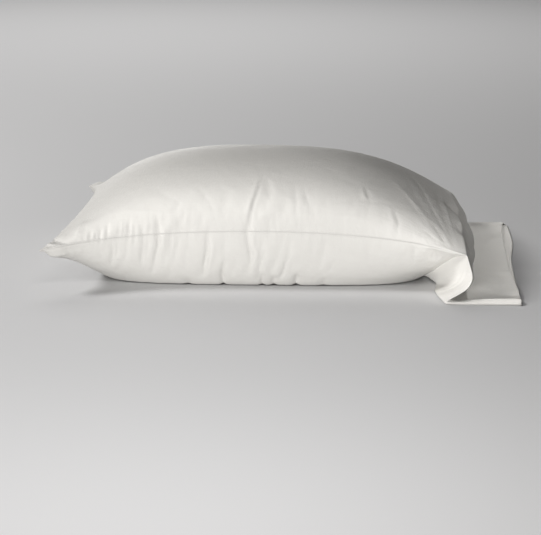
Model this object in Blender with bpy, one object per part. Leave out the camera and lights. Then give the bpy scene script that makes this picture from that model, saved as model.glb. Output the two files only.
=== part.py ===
"""A plain white pillowcase on its pillow, lying on a flat surface with its open end laid out beside it.

The case is one piece of cotton: a top panel and a bottom panel that meet in a closed end at -X and in two
side seams at -Y and +Y. The pillow fills it up to its own right-hand edge. Past that edge the empty cloth
drops to the surface, doubles back under itself at the front corner and ends in a deep hem, whose mouth is
open at +X. Metres, +Z up. The origin is the middle of the object's box, at the surface that it lies on.
"""

import math
from collections import namedtuple

import bmesh
import bpy
from mathutils import Vector

# The filled body, in a frame with its origin under the middle of the pillow.
LEFT_END = 0.310  # from the middle to the two corners of the closed end
RIGHT_END = 0.295  # from the middle to the pillow's other edge
CLOSED_END_DRAW = 0.032  # how far the closed end is drawn in between its corners
HALF_DEPTH = 0.237  # from the middle to the front and back corners
SIDE_DRAW = 0.050  # how far each side seam is drawn in between its corners
CORNER_RISE = 0.0655  # height of the seam at the corners
SIDE_RISE = 0.0865  # height of the side seams at their middles
END_RISE = 0.092  # height of the end edges at their middles
CROWN = 0.0625  # rise of the top panel above the seams
BELLY = 0.153  # fall of the bottom panel below the seams, before the surface flattens it
LEAVES_FLOOR = 0.80  # share of RIGHT_END at which the bottom panel leaves the pillow, at mid depth

# The empty open end.
HALF_MOUTH = 0.262  # half of the case's flat width
LAYER = 0.0015  # thickness of one layer of cloth
GAP = 0.0010  # between the two layers at the mouth
POCKET = 0.055  # how far the two layers stay apart, in from the mouth
SEAM_WIDTH = 0.002  # from the seam's edge to the pocket inside
DOUBLE = 2 * LAYER + GAP

# The mesh.
BODY_COLUMNS = 46
FOLD_COLUMNS = (6, 6, 9)  # pillow edge to fold, fold to tuck, tuck to mouth
ROWS = 40
POCKET_COLUMNS = 4
CORNER_STEPS = 6  # straight pieces in each rounded bend of the empty end

# How far each bend of the empty end reaches along its two sides, as a share of them.
FOLD_ROUNDING = 0.45
TUCK_ROUNDING = 0.12

# One row for each section across the empty end, at a share of the half width. The top panel goes from the
# pillow's edge over `fold` down to `tuck` and out to the mouth; the bottom panel goes from the pillow's
# underside to `valley`, down to `crease` on the surface, and out to the mouth. Metres.
Section = namedtuple("Section", "share fold_x fold_z tuck_x tuck_z valley_x valley_z crease_x mouth lower_mouth")
SECTIONS = (
    Section(-1.00, 0.306, 0.0270, 0.2600, DOUBLE / 2, 0.3060, 0.0270, 0.2600, 0.371, 0.371),
    Section(-0.98, 0.309, 0.0265, 0.2660, DOUBLE, 0.3040, 0.0280, 0.2575, 0.372, 0.373),
    Section(-0.75, 0.313, 0.0320, 0.2720, DOUBLE, 0.2780, 0.0130, 0.2500, 0.373, 0.375),
    Section(-0.50, 0.320, 0.0380, 0.2880, DOUBLE, 0.2550, 0.0000, 0.2620, 0.373, 0.377),
    Section(0.00, 0.326, 0.0420, 0.3010, DOUBLE, 0.2600, 0.0000, 0.2800, 0.377, 0.384),
    Section(0.55, 0.324, 0.0380, 0.2970, DOUBLE, 0.2600, 0.0000, 0.2800, 0.384, 0.400),
    Section(0.98, 0.318, 0.0290, 0.2870, DOUBLE, 0.3020, 0.0290, 0.2790, 0.391, 0.406),
    Section(1.00, 0.315, 0.0290, 0.2830, DOUBLE / 2, 0.3150, 0.0290, 0.2830, 0.400, 0.400),
)

# Main creases in the filled body: from a point to a point on the cloth, how wide and how deep.
# A negative depth is a ridge. Metres.
Crease = namedtuple("Crease", "x0 y0 z0 x1 y1 z1 width depth")
CREASES = (
    # The long crease down the middle of the front, in two runs, with a ridge beside it.
    Crease(-0.006, -0.140, 0.145, -0.019, -0.186, 0.093, 0.014, 0.0060),
    Crease(-0.019, -0.186, 0.093, -0.009, -0.184, 0.040, 0.014, 0.0055),
    Crease(0.010, -0.160, 0.132, 0.005, -0.187, 0.080, 0.016, -0.0035),
    # Shorter ones along the front.
    Crease(0.053, -0.151, 0.138, 0.055, -0.182, 0.106, 0.012, 0.0030),
    Crease(-0.069, -0.187, 0.082, -0.077, -0.183, 0.040, 0.013, 0.0045),
    Crease(-0.156, -0.190, 0.090, -0.163, -0.188, 0.042, 0.011, 0.0030),
    Crease(-0.184, -0.191, 0.086, -0.192, -0.188, 0.040, 0.012, 0.0040),
    Crease(0.213, -0.197, 0.076, 0.216, -0.200, 0.055, 0.018, 0.0045),
    # The left front corner, where the cloth is pinched into the seam.
    Crease(-0.286, -0.221, 0.070, -0.230, -0.185, 0.092, 0.012, 0.0040),
    # The right shoulder, where folds run together into the front corner.
    Crease(0.226, -0.020, 0.137, 0.280, -0.212, 0.073, 0.015, 0.0075),
    Crease(0.246, 0.010, 0.128, 0.286, -0.170, 0.084, 0.015, -0.0055),
    Crease(0.196, 0.020, 0.152, 0.262, -0.190, 0.084, 0.014, 0.0035),
    Crease(0.262, 0.120, 0.108, 0.288, -0.080, 0.096, 0.013, 0.0035),
    # The back.
    Crease(-0.262, 0.200, 0.078, -0.205, 0.160, 0.110, 0.014, 0.0045),
    Crease(-0.125, 0.160, 0.128, -0.110, 0.188, 0.060, 0.015, 0.0050),
    Crease(0.062, 0.150, 0.136, 0.084, 0.188, 0.055, 0.015, 0.0050),
    Crease(0.165, 0.160, 0.120, 0.188, 0.193, 0.050, 0.013, 0.0035),
    Crease(0.215, 0.110, 0.130, 0.283, 0.220, 0.070, 0.016, 0.0060),
)

COTTON_COLOUR = (0.80, 0.79, 0.76, 1.0)
COTTON_ROUGHNESS = 0.8


def mix(a, b, share):
    return a + (b - a) * share


def eased(share, amount):
    """A share from -1 to 1 moved towards the ends, so that the mesh is finer where the cloth curves most."""
    return mix(share, math.sin(share * math.pi / 2), amount)


def through(rows, column, share):
    """A section table's column at a share of the half width, on a smooth curve that never overshoots."""
    share = min(max(share, rows[0].share), rows[-1].share)
    spans = list(zip(rows, rows[1:]))
    slopes = [(getattr(b, column) - getattr(a, column)) / (b.share - a.share) for a, b in spans]
    index = next(i for i, (a, b) in enumerate(spans) if share <= b.share)

    def tangent(row):
        if row in (0, len(slopes)) or slopes[row - 1] * slopes[row] <= 0:
            return 0.0
        return 2 * slopes[row - 1] * slopes[row] / (slopes[row - 1] + slopes[row])

    a, b = spans[index]
    run = b.share - a.share
    f = (share - a.share) / run
    start, end = getattr(a, column), getattr(b, column)
    bend = run * f * (1 - f) * (tangent(index) * (1 - f) - tangent(index + 1) * f)
    return mix(start, end, f * f * (3 - 2 * f)) + bend


def seam_height(s, t):
    """Height of the plane in which the two panels meet, s along the pillow and t across it, from -1 to 1."""
    side = (SIDE_RISE - CORNER_RISE) * (1 - s * s)
    end = (END_RISE - CORNER_RISE) * (1 - t * t)
    return CORNER_RISE + side + end


def fullness(s, t, end_power, side_power):
    """1 in the middle of a panel, 0 along the seams."""
    across = max(1 - t * t, 0.0) ** side_power
    along = max(1 - abs(s) ** 3.4, 0.0) ** end_power
    return along * across


def creased(point):
    """The point moved in where a crease passes near it, or out where a ridge does."""
    inward = Vector((-point.x * 0.25, -point.y, CORNER_RISE - point.z)).normalized()
    moved = 0.0
    for crease in CREASES:
        start = Vector((crease.x0, crease.y0, crease.z0))
        line = Vector((crease.x1, crease.y1, crease.z1)) - start
        share = min(max((point - start).dot(line) / line.length_squared, 0.0), 1.0)
        away = (point - start - line * share).length / crease.width
        moved += crease.depth * math.exp(-away * away)
    return point + inward * moved


def body_point(s, t, side):
    """A point of the filled body's top panel (side 1) or bottom panel (side -1)."""
    length = LEFT_END - CLOSED_END_DRAW * (1 - t * t) * abs(s) ** 3 if s < 0 else RIGHT_END
    depth = HALF_DEPTH - SIDE_DRAW * (1 - abs(s) ** 4.3) * abs(t) ** 3
    middle = seam_height(s, t)
    if side > 0:
        end_power = 1.24 if s < 0 else 1.06
        height = middle + CROWN * (1 - 0.05 * s) * fullness(s, t, end_power, 0.74)
    else:
        height = middle - BELLY * fullness(s, t, 0.52, 0.52)
    point = Vector((s * length, t * depth, height))
    if height > 0:
        point = creased(point)
    return Vector((point.x, point.y, max(point.z, 0.0)))


def tail_stations(t, side):
    """The points that a panel of the empty end passes through, from the pillow to the mouth."""
    column = {name: through(SECTIONS, name, t) for name in Section._fields[1:]}
    spread = mix(HALF_DEPTH, HALF_MOUTH, 0.7) * t
    flat = DOUBLE / 2 if abs(t) > 0.999 else (DOUBLE if side > 0 else 0.0)
    if side > 0:
        return (
            body_point(1.0, t, 1),
            Vector((column["fold_x"], spread, column["fold_z"])),
            Vector((column["tuck_x"], HALF_MOUTH * t, column["tuck_z"])),
            Vector((column["mouth"], HALF_MOUTH * t, flat)),
        )
    leaves = mix(LEAVES_FLOOR, 1.0, abs(t) ** 3)
    return (
        body_point(leaves, t, -1),
        Vector((column["valley_x"], spread, column["valley_z"])),
        Vector((column["crease_x"], HALF_MOUTH * t, flat)),
        Vector((column["lower_mouth"], HALF_MOUTH * t, flat)),
    )


def rounded(before, corner, after, rounding):
    """A bend in two halves, as lists of points that meet in its middle."""
    first, last = corner.lerp(before, rounding), corner.lerp(after, rounding)
    shares = [step / (2 * CORNER_STEPS) for step in range(2 * CORNER_STEPS + 1)]
    points = [first.lerp(corner, f).lerp(corner.lerp(last, f), f) for f in shares]
    return points[: CORNER_STEPS + 1], points[CORNER_STEPS:]


def along(points, share):
    """The point at a share of the length of a run of straight pieces."""
    lengths = [(b - a).length for a, b in zip(points, points[1:])]
    left = share * sum(lengths)
    for a, b, length in zip(points, points[1:], lengths):
        if left <= length:
            return a.lerp(b, left / max(length, 1e-9))
        left -= length
    return points[-1]


def tail_point(column, t, side):
    """A point of the empty end, its column counted from the pillow's edge."""
    edge, fold, tuck, mouth = tail_stations(t, side)
    into_fold, out_of_fold = rounded(edge, fold, tuck, FOLD_ROUNDING)
    into_tuck, out_of_tuck = rounded(fold, tuck, mouth, TUCK_ROUNDING)
    runs = ([edge] + into_fold, out_of_fold + into_tuck, out_of_tuck + [mouth])
    for run, columns in zip(runs, FOLD_COLUMNS):
        if column <= columns:
            return along(run, column / columns)
        column -= columns
    return mouth


def panel_point(column, t, side):
    if column > BODY_COLUMNS:
        return tail_point(column - BODY_COLUMNS, t, side)
    last = 1.0 if side > 0 else mix(LEAVES_FLOOR, 1.0, abs(t) ** 3)
    s = eased(2 * column / BODY_COLUMNS - 1, 0.75)
    return body_point(mix(-1.0, last, (s + 1) / 2), t, side)


def pocket_point(steps, t, side):
    """A point of the inner face of a layer, so many columns in from the mouth."""
    mouth = tail_stations(t, side)[-1]
    inward = steps / POCKET_COLUMNS
    x = mix(mouth.x, through(SECTIONS, "mouth", t) - POCKET, inward)
    y = math.copysign(min(abs(mouth.y), HALF_MOUTH - SEAM_WIDTH), t)
    opening = 0.0 if abs(t) > 0.999 or steps == POCKET_COLUMNS else GAP / 2
    return Vector((x, y, DOUBLE / 2 + side * opening))


def case_mesh():
    """Both panels, joined along the closed end and the side seams, with the pocket of the mouth let in."""
    columns = BODY_COLUMNS + sum(FOLD_COLUMNS)
    bm = bmesh.new()
    across = bm.verts.layers.float.new("across")
    panel = bm.verts.layers.float.new("panel")
    for side in (1, -1):
        grid = bmesh.ops.create_grid(bm, x_segments=columns, y_segments=ROWS, size=0.5)["verts"]
        for vert in grid:
            column = round((vert.co.x + 0.5) * columns)
            vert[across] = eased(2 * vert.co.y, 0.8)
            vert[panel] = side
            vert.co = panel_point(column, vert[across], side)
        if side < 0:
            faces = list({face for vert in grid for face in vert.link_faces})
            bmesh.ops.reverse_faces(bm, faces=faces)
    bmesh.ops.remove_doubles(bm, verts=bm.verts, dist=1e-6)
    for steps in range(POCKET_COLUMNS + 1):
        mouth = [edge for edge in bm.edges if edge.is_boundary]
        made = bmesh.ops.extrude_edge_only(bm, edges=mouth)["geom"]
        for vert in (item for item in made if isinstance(item, bmesh.types.BMVert)):
            vert.co = pocket_point(steps, vert[across], vert[panel])
    bmesh.ops.remove_doubles(bm, verts=bm.verts, dist=1e-6)
    bmesh.ops.recalc_face_normals(bm, faces=bm.faces)
    return bm


def put_on_origin(bm):
    """Moves the mesh so that the middle of its box, at the surface it lies on, is the origin."""
    for axis in (0, 1):
        reach = [vert.co[axis] for vert in bm.verts]
        middle = (min(reach) + max(reach)) / 2
        for vert in bm.verts:
            vert.co[axis] -= middle


def cotton():
    material = bpy.data.materials.new("cotton")
    material.use_nodes = True
    shader = material.node_tree.nodes["Principled BSDF"]
    shader.inputs["Base Color"].default_value = COTTON_COLOUR
    shader.inputs["Roughness"].default_value = COTTON_ROUGHNESS
    return material


def main():
    for obj in list(bpy.data.objects):
        bpy.data.objects.remove(obj)
    collection = bpy.data.collections.new("Pillowcase on its pillow")
    bpy.context.scene.collection.children.link(collection)
    bm = case_mesh()
    put_on_origin(bm)
    mesh = bpy.data.meshes.new("pillowcase")
    bm.to_mesh(mesh)
    bm.free()
    mesh.shade_smooth()
    mesh.materials.append(cotton())
    collection.objects.link(bpy.data.objects.new("pillowcase", mesh))


main()
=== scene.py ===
# %% [markdown]
# # A white pillowcase on its pillow
#
# This lesson dresses a imported solid, `pillowcase`, as the real thing: a smooth white cotton case with a
# pillow inside it. A maker sews such a case from one length of cloth. It has a closed end, two side seams
# and a deep hem at the open end. The pillow fills most of it, so the seams draw in and pucker, and the
# spare length beyond the pillow drops to the surface and lies there in a loose fold.
#
# The solid is loaded first. It fixes the size and the place of everything that follows, so the lesson
# keeps its box.

# %% Load the solid
import functools
import math
from collections import namedtuple

import bmesh
import bpy
import numpy as np
from mathutils import Matrix, Vector, noise


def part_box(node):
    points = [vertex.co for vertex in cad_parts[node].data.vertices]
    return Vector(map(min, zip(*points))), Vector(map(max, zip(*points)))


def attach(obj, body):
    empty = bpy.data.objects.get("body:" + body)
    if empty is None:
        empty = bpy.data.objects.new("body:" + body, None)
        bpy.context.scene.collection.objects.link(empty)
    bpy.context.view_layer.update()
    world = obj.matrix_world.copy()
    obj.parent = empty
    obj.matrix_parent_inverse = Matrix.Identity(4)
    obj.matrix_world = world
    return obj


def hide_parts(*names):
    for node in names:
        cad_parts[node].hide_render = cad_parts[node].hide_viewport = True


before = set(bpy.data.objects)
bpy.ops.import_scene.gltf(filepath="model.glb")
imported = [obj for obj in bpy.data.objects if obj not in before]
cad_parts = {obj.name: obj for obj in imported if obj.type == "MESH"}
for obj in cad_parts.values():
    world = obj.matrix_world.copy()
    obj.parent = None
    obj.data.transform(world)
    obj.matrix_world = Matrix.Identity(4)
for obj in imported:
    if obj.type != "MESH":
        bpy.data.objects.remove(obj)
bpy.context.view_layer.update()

low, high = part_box("pillowcase")
print("solid from", [round(c, 3) for c in low], "to", [round(c, 3) for c in high])

# %% [markdown]
# ## The sizes of the case
#
# The cloth is modelled from the same few sizes as the solid: where the corners are, how far the seams are
# drawn in between them, and how high the crown rises. They are given in a frame with its origin under the
# middle of the pillow, because that is how a pillow is measured. One shift along X brings the finished
# cloth to the solid's place.

# %% Sizes
LEFT_END = 0.310  # from the middle to the two corners of the closed end
RIGHT_END = 0.295  # from the middle to the pillow's other edge
CLOSED_END_DRAW = 0.032  # how far the closed end is drawn in between its corners
HALF_DEPTH = 0.237  # from the middle to the front and back corners
SIDE_DRAW = 0.050  # how far each side seam is drawn in between its corners
CORNER_RISE = 0.0655  # height of the seam at the corners
SIDE_RISE = 0.0865  # height of the side seams at their middles
END_RISE = 0.092  # height of the end edges at their middles
CROWN = 0.0610  # rise of the top panel above the seams
TOP_FULLNESS = 0.42  # at the middle: 1 is a round top panel, less is a flatter one with a rounder edge
END_FULLNESS = 0.87  # the same at the two ends
BELLY = 0.153  # fall of the bottom panel below the seams, before the surface flattens it
BELLY_FULLNESS = 0.52  # at the middle
END_BELLY_FULLNESS = 0.80  # at the two ends
LEAVES_FLOOR = 0.80  # share of RIGHT_END at which the bottom panel's middle leaves the pillow
HALF_MOUTH = 0.262  # half of the case's flat width
LAYER = 0.0012  # one layer of the hem
MOUTH_GAP = 0.0016  # between the two layers at the mouth
DOUBLE = 2 * LAYER + MOUTH_GAP
HEM_DEPTH = 0.108  # from the mouth to the hem's stitching
POCKET = 0.060  # how far the mouth is open, inwards
SEAM_WIDTH = 0.002  # from the seam's edge to the pocket inside
AT_SEAM = 0.999  # across the case, from -1 to 1, a point past this lies on a side seam
TO_SOLID = Vector((low[0] + LEFT_END, 0.0, 0.0))
print("the pillow's middle lies at", [round(c, 3) for c in TO_SOLID])

# %% [markdown]
# ## The two panels as functions
#
# A point of the cloth is named by its place along the case and across it. Along the pillow, a point of a
# panel is worked out from a smooth rule: the height of the seams plus a fullness that is 1 in the middle
# and 0 at every seam. The middle of a full pillow is nearly flat and rounds off close to its seams, while
# its ends are rounder, so the power of that fullness changes along the pillow.
#
# Past the pillow a panel leaves its edge, bends twice and runs out to the mouth. The top panel bends at a
# fold and a tuck, the bottom one at a valley and a crease. One short table gives these places for eight
# sections across the case. Between the sections the values follow a curve that never overshoots, so no fold
# turns inside out.

# %% The empty end's sections
Section = namedtuple(
    "Section", "share fold_x fold_z tuck_x tuck_z valley_x valley_z crease_x mouth lower_mouth"
)
SECTIONS = (
    Section(-1.00, 0.306, 0.0270, 0.2600, DOUBLE / 2, 0.3060, 0.0270, 0.2600, 0.371, 0.371),
    Section(-0.98, 0.309, 0.0265, 0.2660, DOUBLE, 0.3040, 0.0280, 0.2575, 0.372, 0.373),
    Section(-0.75, 0.313, 0.0320, 0.2720, DOUBLE, 0.2780, 0.0130, 0.2500, 0.373, 0.375),
    Section(-0.50, 0.320, 0.0380, 0.2880, DOUBLE, 0.2550, 0.0000, 0.2620, 0.373, 0.377),
    Section(0.00, 0.326, 0.0420, 0.3010, DOUBLE, 0.2600, 0.0000, 0.2800, 0.377, 0.384),
    Section(0.55, 0.324, 0.0380, 0.2970, DOUBLE, 0.2600, 0.0000, 0.2800, 0.384, 0.400),
    Section(0.98, 0.318, 0.0290, 0.2870, DOUBLE, 0.3020, 0.0290, 0.2790, 0.396, 0.403),
    Section(1.00, 0.315, 0.0290, 0.2830, DOUBLE / 2, 0.3150, 0.0290, 0.2830, 0.400, 0.400),
)


def mix(a, b, share):
    return a + (b - a) * share


def through(column, share):
    """A section column at a share of the half width, from -1 to 1."""
    spans = list(zip(SECTIONS, SECTIONS[1:]))
    slopes = [(getattr(b, column) - getattr(a, column)) / (b.share - a.share) for a, b in spans]
    index = next(i for i, (a, b) in enumerate(spans) if share <= b.share or b is SECTIONS[-1])

    def tangent(row):
        if row in (0, len(slopes)) or slopes[row - 1] * slopes[row] <= 0:
            return 0.0
        return 2 * slopes[row - 1] * slopes[row] / (slopes[row - 1] + slopes[row])

    a, b = spans[index]
    run = b.share - a.share
    f = (share - a.share) / run
    bend = run * f * (1 - f) * (tangent(index) * (1 - f) - tangent(index + 1) * f)
    return mix(getattr(a, column), getattr(b, column), f * f * (3 - 2 * f)) + bend


# %% The filled body
SIDE_POWER = 4.3  # the drawn-in side turns out again near the corners, more suddenly with a higher power
DRAW_POWER = 3  # how soon a drawn-in seam lets go, away from the seam itself
LENGTH_POWER = 3.4  # how far the fullness lasts towards the two ends
CROWN_LEAN = 0.05  # the crown is this much higher near the closed end
CLOSED_SLOPE, OPEN_SLOPE, BELLY_SLOPE = 1.24, 1.06, 0.52  # more of it makes an end slimmer
LEAVES_POWER = 3  # the bottom panel stays on the pillow for longer near the seams


def body_point(s, t, side):
    """A point of the top panel (side 1) or bottom panel (side -1), s along the pillow and t across it."""
    length = LEFT_END - CLOSED_END_DRAW * (1 - t * t) * abs(s) ** DRAW_POWER if s < 0 else RIGHT_END
    depth = HALF_DEPTH - SIDE_DRAW * (1 - abs(s) ** SIDE_POWER) * abs(t) ** DRAW_POWER
    seam = CORNER_RISE + (SIDE_RISE - CORNER_RISE) * (1 - s * s) + (END_RISE - CORNER_RISE) * (1 - t * t)
    along, across = max(1 - abs(s) ** LENGTH_POWER, 0.0), max(1 - t * t, 0.0)
    if side > 0:
        crown = CROWN * (1 - CROWN_LEAN * s) * along ** (CLOSED_SLOPE if s < 0 else OPEN_SLOPE)
        height = seam + crown * across ** mix(TOP_FULLNESS, END_FULLNESS, s**4)
    else:
        belly = BELLY * along**BELLY_SLOPE
        height = seam - belly * across ** mix(BELLY_FULLNESS, END_BELLY_FULLNESS, s * s)
    return Vector((s * length, t * depth, max(height, 0.0)))


def last_share(t, side):
    """How far along the pillow a panel stays on it: the bottom one leaves it before its edge."""
    return 1.0 if side > 0 else mix(LEAVES_FLOOR, 1.0, abs(t) ** LEAVES_POWER)


print("crown at", round(body_point(0, 0, 1).z, 4), "m")

# %% [markdown]
# ## The bends of the empty end
#
# Cloth never folds to a knife edge, so each bend is rounded: a soft one where the falling cloth turns back
# under the pillow, and a tight one where it turns again and runs out to the mouth. The rounding is worked
# out as a curve that leaves one straight side and joins the next.

# %% Paths of the empty end
FOLD_ROUNDING = 0.45
TUCK_ROUNDING = 0.12
BEND_STEPS = 12
FOLD_SPREAD = 0.7  # the fold's width, between the pillow's depth (0) and the mouth's width (1)


def stations(t, side):
    """The points that a panel passes through between the pillow and the mouth."""
    column = {name: through(name, t) for name in Section._fields[1:]}
    spread = mix(HALF_DEPTH, HALF_MOUTH, FOLD_SPREAD) * t
    flat = DOUBLE / 2 if abs(t) > AT_SEAM else (DOUBLE if side > 0 else 0.0)
    if side > 0:
        return (
            body_point(last_share(t, side), t, side),
            Vector((column["fold_x"], spread, column["fold_z"])),
            Vector((column["tuck_x"], HALF_MOUTH * t, column["tuck_z"])),
            Vector((column["mouth"], HALF_MOUTH * t, flat)),
        )
    return (
        body_point(last_share(t, side), t, side),
        Vector((column["valley_x"], spread, column["valley_z"])),
        Vector((column["crease_x"], HALF_MOUTH * t, flat)),
        Vector((column["lower_mouth"], HALF_MOUTH * t, flat)),
    )


def rounded(before, corner, after, rounding):
    """A bend in two halves, as lists of points that meet in its middle."""
    first, last = corner.lerp(before, rounding), corner.lerp(after, rounding)
    shares = [step / BEND_STEPS for step in range(BEND_STEPS + 1)]
    points = [first.lerp(corner, f).lerp(corner.lerp(last, f), f) for f in shares]
    return points[: BEND_STEPS // 2 + 1], points[BEND_STEPS // 2 :]


def spaced(points, count):
    """So many points at even distances along a run, without its first one."""
    steps = [(b - a).length for a, b in zip(points, points[1:])]
    reach = np.concatenate([[0.0], np.cumsum(steps)])
    wanted = np.linspace(0, reach[-1], count + 1)[1:]
    axes = [np.interp(wanted, reach, [p[axis] for p in points]) for axis in range(3)]
    return [Vector(point) for point in zip(*axes)]


# %% [markdown]
# ## From rows to a mesh
#
# Each row of the cloth runs from the closed end to the mouth. The mesh starts as two flat grids, one for
# each panel, from the grid operator. Every vertex is then lifted to its place on its row. Welding the two
# grids along their shared edges closes the end and both sides, like the sewing does, and leaves one open
# loop: the mouth. Extruding that loop makes the hem's thickness and the pocket inside.
#
# A voxel remesh would be the quick way to an even mesh, but its squares wouldn't follow the threads. Here
# every vertex remembers where it is on the flat cloth: how far from the mouth, and how far from the front
# seam. The weave, the hem, the seams and the creases all use these two distances.

# %% Rows of the cloth
BODY_COLUMNS = 150
FOLD_COLUMNS = (12, 10, 14)  # pillow edge to fold, fold to tuck, tuck to mouth
COLUMNS = BODY_COLUMNS + sum(FOLD_COLUMNS)
ROWS = 62
POCKET_COLUMNS = 4
ALONG_EASE = 0.2  # 0 spaces the columns evenly, 1 crowds them towards the ends
ACROSS_EASE = 0.6
FRONT_BIAS = 0.14  # crowds the rows towards the front seam, where most creases are


def eased(share, amount):
    return mix(share, math.sin(share * math.pi / 2), amount)


def row_points(t, side):
    """One row of a panel, from the closed end to the mouth."""
    shares = [eased(2 * i / BODY_COLUMNS - 1, ALONG_EASE) for i in range(BODY_COLUMNS + 1)]
    points = [body_point(mix(-1.0, last_share(t, side), (s + 1) / 2), t, side) for s in shares]
    edge, fold, tuck, mouth = stations(t, side)
    into_fold, out_of_fold = rounded(edge, fold, tuck, FOLD_ROUNDING)
    into_tuck, out_of_tuck = rounded(fold, tuck, mouth, TUCK_ROUNDING)
    runs = ([edge] + into_fold, out_of_fold + into_tuck, out_of_tuck + [mouth])
    for run, count in zip(runs, FOLD_COLUMNS):
        points += spaced(run, count)
    return points


def travelled(points, axis):
    """The distance on the cloth from the first row or column of points to each of them."""
    steps = np.linalg.norm(np.diff(points, axis=axis), axis=-1)
    start = np.zeros_like(np.take(steps, [0], axis=axis))
    return np.concatenate([start, np.cumsum(steps, axis=axis)], axis=axis)


def pocket_point(steps, t, side):
    """A point of the inner face of a layer, so many columns in from the mouth."""
    mouth = stations(t, side)[-1]
    x = mix(mouth.x, through("mouth", t) - POCKET, steps / POCKET_COLUMNS)
    y = math.copysign(min(abs(mouth.y), HALF_MOUTH - SEAM_WIDTH), t)
    opening = 0.0 if abs(t) > AT_SEAM or steps == POCKET_COLUMNS else MOUTH_GAP / 2
    return Vector((x, y, DOUBLE / 2 + side * opening))


# %% Sew the two grids into a case
REMEMBERED = ("across", "panel", "along", "from_mouth", "from_front", "from_side", "above_seam", "inside")
SAME_PLACE = 1e-6  # points closer than this are one
bm = bmesh.new()
layer = {name: bm.verts.layers.float.new(name) for name in REMEMBERED}
seam_crease = bm.edges.layers.float.new("crease_edge")
for side in (1, -1):
    shares = [eased(2 * row / ROWS - 1, ACROSS_EASE) for row in range(ROWS + 1)]
    shares = [t - FRONT_BIAS * (1 - t * t) for t in shares]
    points = np.array([[tuple(point) for point in row_points(t, side)] for t in shares])
    to_closed = travelled(points, 1)
    to_mouth = to_closed[:, -1:] - to_closed
    to_front = travelled(points, 0)
    to_side = np.minimum(to_front, to_front[-1] - to_front)
    grid = bmesh.ops.create_grid(bm, x_segments=COLUMNS, y_segments=ROWS, size=0.5)["verts"]
    for vert in grid:
        column, row = round((vert.co.x + 0.5) * COLUMNS), round((vert.co.y + 0.5) * ROWS)
        vert.co = points[row, column]
        beyond = to_closed[row, max(column, BODY_COLUMNS)] - to_closed[row, BODY_COLUMNS]
        vert[layer["along"]] = points[row, min(column, BODY_COLUMNS)][0] + beyond
        vert[layer["across"]], vert[layer["panel"]] = shares[row], side
        vert[layer["from_mouth"]], vert[layer["from_front"]] = to_mouth[row, column], to_front[row, column]
        vert[layer["from_side"]] = to_side[row, column]
        vert[layer["above_seam"]] = side * to_side[row, column]
    if side < 0:
        bmesh.ops.reverse_faces(bm, faces=list({face for vert in grid for face in vert.link_faces}))
bmesh.ops.remove_doubles(bm, verts=bm.verts, dist=SAME_PLACE)
for edge in bm.edges:
    if all(abs(vert[layer["across"]]) > AT_SEAM for vert in edge.verts):
        edge[seam_crease] = 1.0
for steps in range(POCKET_COLUMNS + 1):
    mouth = [edge for edge in bm.edges if edge.is_boundary]
    made = bmesh.ops.extrude_edge_only(bm, edges=mouth)["geom"]
    for vert in (item for item in made if isinstance(item, bmesh.types.BMVert)):
        vert.co = pocket_point(steps, vert[layer["across"]], vert[layer["panel"]])
        vert[layer["inside"]] = 1.0
        vert[layer["from_mouth"]] = POCKET * steps / POCKET_COLUMNS
bmesh.ops.remove_doubles(bm, verts=bm.verts, dist=SAME_PLACE)
bmesh.ops.recalc_face_normals(bm, faces=bm.faces)
weave_map = bm.loops.layers.uv.new("weave")
for loop in (loop for face in bm.faces for loop in face.loops):
    loop[weave_map].uv = (loop.vert[layer["from_mouth"]], loop.vert[layer["from_front"]])
bmesh.ops.translate(bm, verts=bm.verts, vec=TO_SOLID)
case_mesh = bpy.data.meshes.new("case_cloth")
bm.to_mesh(case_mesh)
bm.free()
case = bpy.data.objects.new("case_cloth", case_mesh)
bpy.context.scene.collection.objects.link(case)
print("sewn case:", len(case_mesh.vertices), "vertices,", len(case_mesh.polygons), "faces")

# %% [markdown]
# ## Slack that the seams gather
#
# A flat case that is filled becomes round, and the cloth along its seams is then too long for the way it has
# to go. The slack stands up in short folds across the seam. Blender's cloth simulation makes such folds by
# itself, if the cloth is told that it is a little longer near the seams than the mesh: a negative shrink
# does that. Its amount is painted as a vertex group, strong at the seams and weak on the crown, with some
# noise so that the folds come unevenly.

# %% Helpers for painted values
def floats(mesh, name):
    values = np.zeros(len(mesh.vertices), np.float32)
    mesh.attributes[name].data.foreach_get("value", values)
    return values.astype(float)


def coordinates(mesh):
    values = np.zeros(len(mesh.vertices) * 3, np.float32)
    mesh.vertices.foreach_get("co", values)
    return values.reshape(-1, 3).astype(float)


def edge_ends(mesh):
    """The numbers of each edge's first and second point."""
    ends = np.zeros(len(mesh.edges) * 2, np.int32)
    mesh.edges.foreach_get("vertices", ends)
    return ends.reshape(-1, 2).T


def move_to(mesh, points):
    mesh.vertices.foreach_set("co", points.astype(np.float32).ravel())
    mesh.update()


def faded(distance, reach):
    """1 at distance 0, falling softly to 0 past reach."""
    return np.exp(-((distance / reach) ** 2))


def stepped(value, start, end):
    """0 before start and 1 after end, with a soft step between them."""
    share = np.clip((value - start) / (end - start), 0.0, 1.0)
    return share * share * (3 - 2 * share)


def uneven(points, size, seed=0.0):
    """Soft noise from -1 to 1 with lumps of a given size."""
    return np.array([noise.noise(Vector(point) / size + Vector((seed, 0.0, 0.0))) for point in points])


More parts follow.
